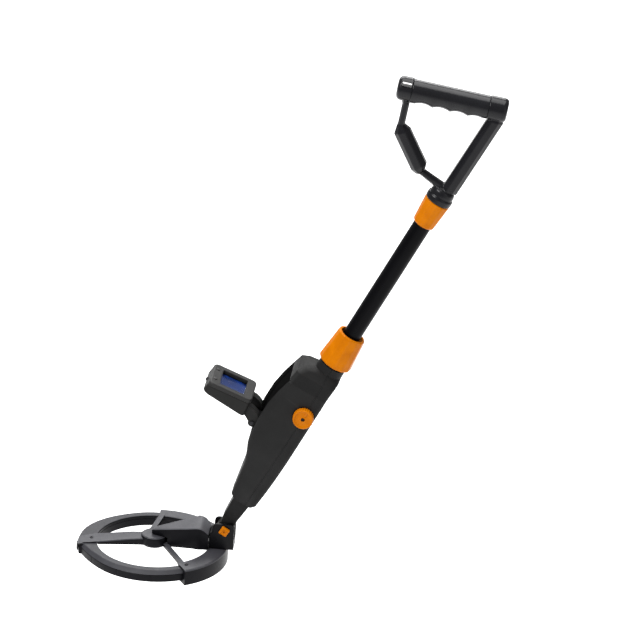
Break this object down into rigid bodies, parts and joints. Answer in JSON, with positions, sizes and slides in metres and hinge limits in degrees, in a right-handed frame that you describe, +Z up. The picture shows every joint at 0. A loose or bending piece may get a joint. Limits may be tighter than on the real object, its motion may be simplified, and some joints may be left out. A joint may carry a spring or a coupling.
{
  "type": "metal detector",
  "caption": "Youth metal detector: loop handle on a telescopic tube, housing with fold-out screen and control knob, and a tilting ring search coil.",
  "frame": {"origin": "middle of the hand grip, on its axis", "axes": "+X from the coil towards the user, +Z up with the coil level, +Y to the far side, away from the control knob"},
  "size_m": [0.5018, 0.1816, 0.6695],
  "materials": {
    "black_plastic": "satin moulded",
    "grip_plastic": "fine matt texture",
    "housing_plastic": "matt moulded",
    "pod_plastic": "matt moulded",
    "coil_plastic": "textured moulded",
    "orange_plastic": "semi-gloss moulded",
    "tube_metal": "black anodised",
    "nylon": "natural nylon",
    "steel": "zinc plated",
    "rubber": "matt",
    "copper": "enamelled winding",
    "board": "solder mask",
    "lcd": "backlit blue",
    "window": "clear",
    "battery_skin": "plain metal jacket"
  },
  "bodies": {
    "handle": {"handle_frame": "black_plastic", "hand_grip": "grip_plastic", "upper_collet": "nylon"},
    "upper_twist_ring": {"upper_collar": "orange_plastic"},
    "stem": {"stem_tube": "tube_metal", "tube_end_plug": "rubber"},
    "housing": {"front_shell": "housing_plastic", "back_shell": "housing_plastic", "threaded_neck": "nylon", "lower_collet": "nylon", "screen_tray": "black_plastic", "circuit_board": "board", "speaker": "black_plastic", "battery": "battery_skin", "battery_snap": "black_plastic", "potentiometer": "steel", "lower_stem": "housing_plastic", "pivot_washer_near": "rubber", "pivot_washer_far": "rubber", "coil_lead": "rubber", "shell_screw_1": "steel", "shell_screw_2": "steel", "shell_screw_3": "steel", "shell_screw_4": "steel", "hinge_pin": "steel", "hinge_screw_near": "steel", "hinge_screw_far": "steel"},
    "lower_twist_ring": {"lower_collar": "orange_plastic"},
    "door": {"battery_door": "housing_plastic"},
    "screen": {"pod_back": "pod_plastic", "pod_bezel": "pod_plastic", "lcd_window": "window", "lcd_panel": "lcd", "pod_board": "board"},
    "mode_key": {"mode_button": "rubber"},
    "select_key": {"select_button": "rubber"},
    "power_key": {"power_button": "rubber"},
    "knob": {"control_knob": "orange_plastic", "knob_shaft": "steel", "knob_screw": "steel"},
    "coil": {"coil_base": "coil_plastic", "coil_lid": "coil_plastic", "transmit_winding": "copper", "receive_winding": "copper", "coil_top_frame": "coil_plastic", "spine_cover": "coil_plastic", "yoke": "black_plastic", "pivot_nut": "steel", "frame_screw_near": "steel", "frame_screw_tip": "steel"},
    "clamp": {"pivot_knob": "orange_plastic", "pivot_bolt": "steel"}
  },
  "joints": [
    {"name": "upper_collar_twist", "type": "hinge", "parent": "handle", "child": "upper_twist_ring", "pos_m": [-0.01883, 0, -0.15235], "axis": [0.4509, 0, 0.8926], "range_deg": [0, 90]},
    {"name": "stem_pull", "type": "slide", "parent": "handle", "child": "stem", "axis": [-0.4509, 0, -0.8926], "range_m": [0, 0.015]},
    {"name": "stem_collapse", "type": "slide", "parent": "stem", "child": "housing", "axis": [0.4509, 0, 0.8926], "range_m": [0, 0.11]},
    {"name": "lower_collar_twist", "type": "hinge", "parent": "housing", "child": "lower_twist_ring", "pos_m": [-0.11531, 0, -0.34336], "axis": [0.4509, 0, 0.8926], "range_deg": [-90, 0]},
    {"name": "battery_door_pull", "type": "slide", "parent": "housing", "child": "door", "axis": [-0.9539, 0, 0.3001], "range_m": [0, 0.012]},
    {"name": "screen_fold", "type": "hinge", "parent": "housing", "child": "screen", "pos_m": [-0.21974, 0, -0.44074], "axis": [0, 1, 0], "range_deg": [-15, 95.3]},
    {"name": "mode_press", "type": "slide", "parent": "screen", "child": "mode_key", "axis": [-0.3665, 0, -0.9304], "range_m": [0, 0.0007], "stiffness_N_per_m": 400},
    {"name": "select_press", "type": "slide", "parent": "screen", "child": "select_key", "axis": [-0.3665, 0, -0.9304], "range_m": [0, 0.0007], "stiffness_N_per_m": 400},
    {"name": "power_press", "type": "slide", "parent": "screen", "child": "power_key", "axis": [0.8339, 0, -0.5519], "range_m": [0, 0.0008], "stiffness_N_per_m": 400},
    {"name": "knob_turn", "type": "hinge", "parent": "housing", "child": "knob", "pos_m": [-0.15544, -0.035, -0.4228], "axis": [0, -1, 0], "range_deg": [-135, 135]},
    {"name": "coil_tilt", "type": "hinge", "parent": "housing", "child": "coil", "pos_m": [-0.24892, 0, -0.59832], "axis": [0, 1, 0], "range_deg": [-60, 35]},
    {"name": "clamp_turn", "type": "hinge", "parent": "coil", "child": "clamp", "pos_m": [-0.24892, 0, -0.59832], "axis": [0, -1, 0], "range_deg": [0, 90]}
  ]
}
